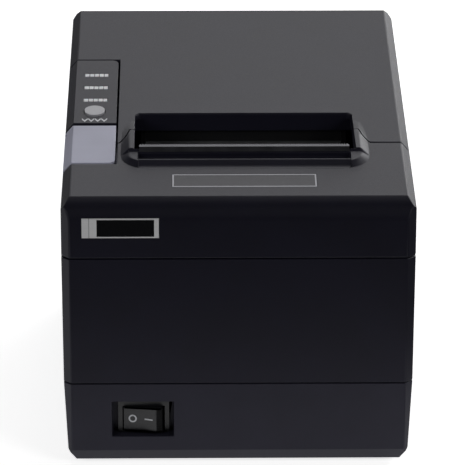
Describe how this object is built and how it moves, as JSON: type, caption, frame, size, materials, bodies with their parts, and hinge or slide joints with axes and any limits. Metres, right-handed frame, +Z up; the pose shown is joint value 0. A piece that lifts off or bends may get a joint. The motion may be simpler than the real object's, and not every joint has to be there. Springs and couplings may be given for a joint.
{
  "type": "receipt printer",
  "caption": "Desktop thermal receipt printer with a hinged paper cover, serrated receipt slot, side control panel, grey open lever and front power switch.",
  "frame": {"origin": "centre of the outline in plan, at the underside of the rubber feet", "axes": "+X to the right seen from the front, +Y to the rear, +Z up"},
  "size_m": [0.145, 0.197, 0.1388],
  "materials": {
    "casing_plastic": "fine grained moulded black",
    "inner_plastic": "plain moulded black",
    "grey_plastic": "fine grained moulded grey",
    "window_plastic": "translucent white",
    "gear_plastic": "natural acetal",
    "black_gloss": "smooth black",
    "foot_rubber": "matte",
    "platen_rubber": "ground",
    "steel": "zinc plated",
    "bright_steel": "ground edge",
    "heat_aluminium": "extruded",
    "head_ceramic": "glazed strip",
    "board_green": "solder resist over glass laminate"
  },
  "bodies": {
    "body": {"base_housing": "casing_plastic", "rubber_feet": "foot_rubber", "base_screws": "steel", "main_housing": "casing_plastic", "control_panel": "casing_plastic", "status_windows": "window_plastic", "panel_board": "board_green", "panel_parts": "black_gloss", "lever_bracket": "steel", "lever_pin": "steel", "lever_spring": "steel", "hinge_pins": "steel", "idler_stud": "steel", "feed_motor": "steel", "chassis": "steel", "chassis_screws": "steel", "heat_sink": "heat_aluminium", "print_head": "head_ceramic", "head_springs": "steel", "cutter_bed": "inner_plastic", "cutter_motor": "steel", "latch_spring": "steel", "paper_bucket": "inner_plastic", "bucket_screws": "steel", "low_sensor": "black_gloss", "end_sensor": "black_gloss", "main_board": "board_green", "board_screws": "steel", "board_chips": "black_gloss", "board_headers": "window_plastic", "power_socket": "black_gloss", "usb_socket": "steel", "network_socket": "steel", "drawer_socket": "black_gloss", "serial_socket": "steel", "power_switch": "black_gloss", "head_cable": "window_plastic"},
    "front_panel": {"front_cover": "casing_plastic", "tear_bar": "bright_steel", "notice_plate": "black_gloss", "badge_plate": "black_gloss"},
    "lid": {"paper_cover": "casing_plastic", "cover_inner": "inner_plastic", "cover_screws": "steel", "fixed_blade": "bright_steel", "platen_bushes": "gear_plastic"},
    "platen": {"platen_rubber": "platen_rubber", "platen_shaft": "steel", "platen_gear": "gear_plastic"},
    "idler": {"idler_gear": "gear_plastic"},
    "motor_rotor": {"motor_pinion": "steel"},
    "blade_carriage": {"moving_blade": "bright_steel", "blade_rack": "gear_plastic"},
    "cutter_drive": {"cutter_pinion": "gear_plastic"},
    "lever": {"open_lever": "grey_plastic"},
    "latch_shaft": {"latch": "steel"},
    "feed_key": {"feed_button": "grey_plastic"},
    "rocker": {"power_rocker": "black_gloss"}
  },
  "joints": [
    {"name": "front_cover_slide", "type": "slide", "parent": "body", "child": "front_panel", "axis": [0, -1, 0], "range_m": [0, 0.072]},
    {"name": "paper_cover_hinge", "type": "hinge", "parent": "body", "child": "lid", "pos_m": [0, 0.0935, 0.106], "axis": [-1, 0, 0], "range_deg": [0, 95]},
    {"name": "platen_spin", "type": "hinge", "parent": "lid", "child": "platen", "pos_m": [0.0032, -0.016, 0.102], "axis": [1, 0, 0], "continuous": true},
    {"name": "idler_spin", "type": "hinge", "parent": "body", "child": "idler", "pos_m": [-0.0487, -0.02988, 0.08545], "axis": [1, 0, 0], "continuous": true},
    {"name": "motor_spin", "type": "hinge", "parent": "body", "child": "motor_rotor", "pos_m": [-0.0487, -0.03777, 0.07062], "axis": [1, 0, 0], "continuous": true},
    {"name": "blade_slide", "type": "slide", "parent": "body", "child": "blade_carriage", "axis": [0, 1, 0], "range_m": [0, 0.008]},
    {"name": "cutter_pinion_spin", "type": "hinge", "parent": "body", "child": "cutter_drive", "pos_m": [0.024, -0.05, 0.112], "axis": [0, 0, 1], "range_deg": [0, 77]},
    {"name": "lever_hinge", "type": "hinge", "parent": "body", "child": "lever", "pos_m": [-0.062, -0.028, 0.12017], "axis": [-1, 0, 0], "range_deg": [0, 20], "stiffness_Nm_per_rad": 0.25, "springref_deg": -8.59},
    {"name": "latch_hinge", "type": "hinge", "parent": "body", "child": "latch_shaft", "pos_m": [0.0032, -0.014, 0.077], "axis": [1, 0, 0], "range_deg": [0, 15], "stiffness_Nm_per_rad": 0.2, "springref_deg": -11.46},
    {"name": "feed_button_slide", "type": "slide", "parent": "body", "child": "feed_key", "axis": [0, 0.1132, -0.9936], "range_m": [0, 0.0008], "stiffness_N_per_m": 400, "springref_m": -0.001},
    {"name": "power_rocker_hinge", "type": "hinge", "parent": "body", "child": "rocker", "pos_m": [-0.0393, -0.092, 0.01975], "axis": [0, 0, 1], "range_deg": [0, 24]}
  ],
  "couplings": [
    {"joint": "idler_spin", "follows": "platen_spin", "ratio": -0.8},
    {"joint": "motor_spin", "follows": "platen_spin", "ratio": 2},
    {"joint": "cutter_pinion_spin", "follows": "blade_slide", "rad_per_m": 166.67},
    {"joint": "latch_hinge", "follows": "lever_hinge", "ratio": 0.75}
  ]
}
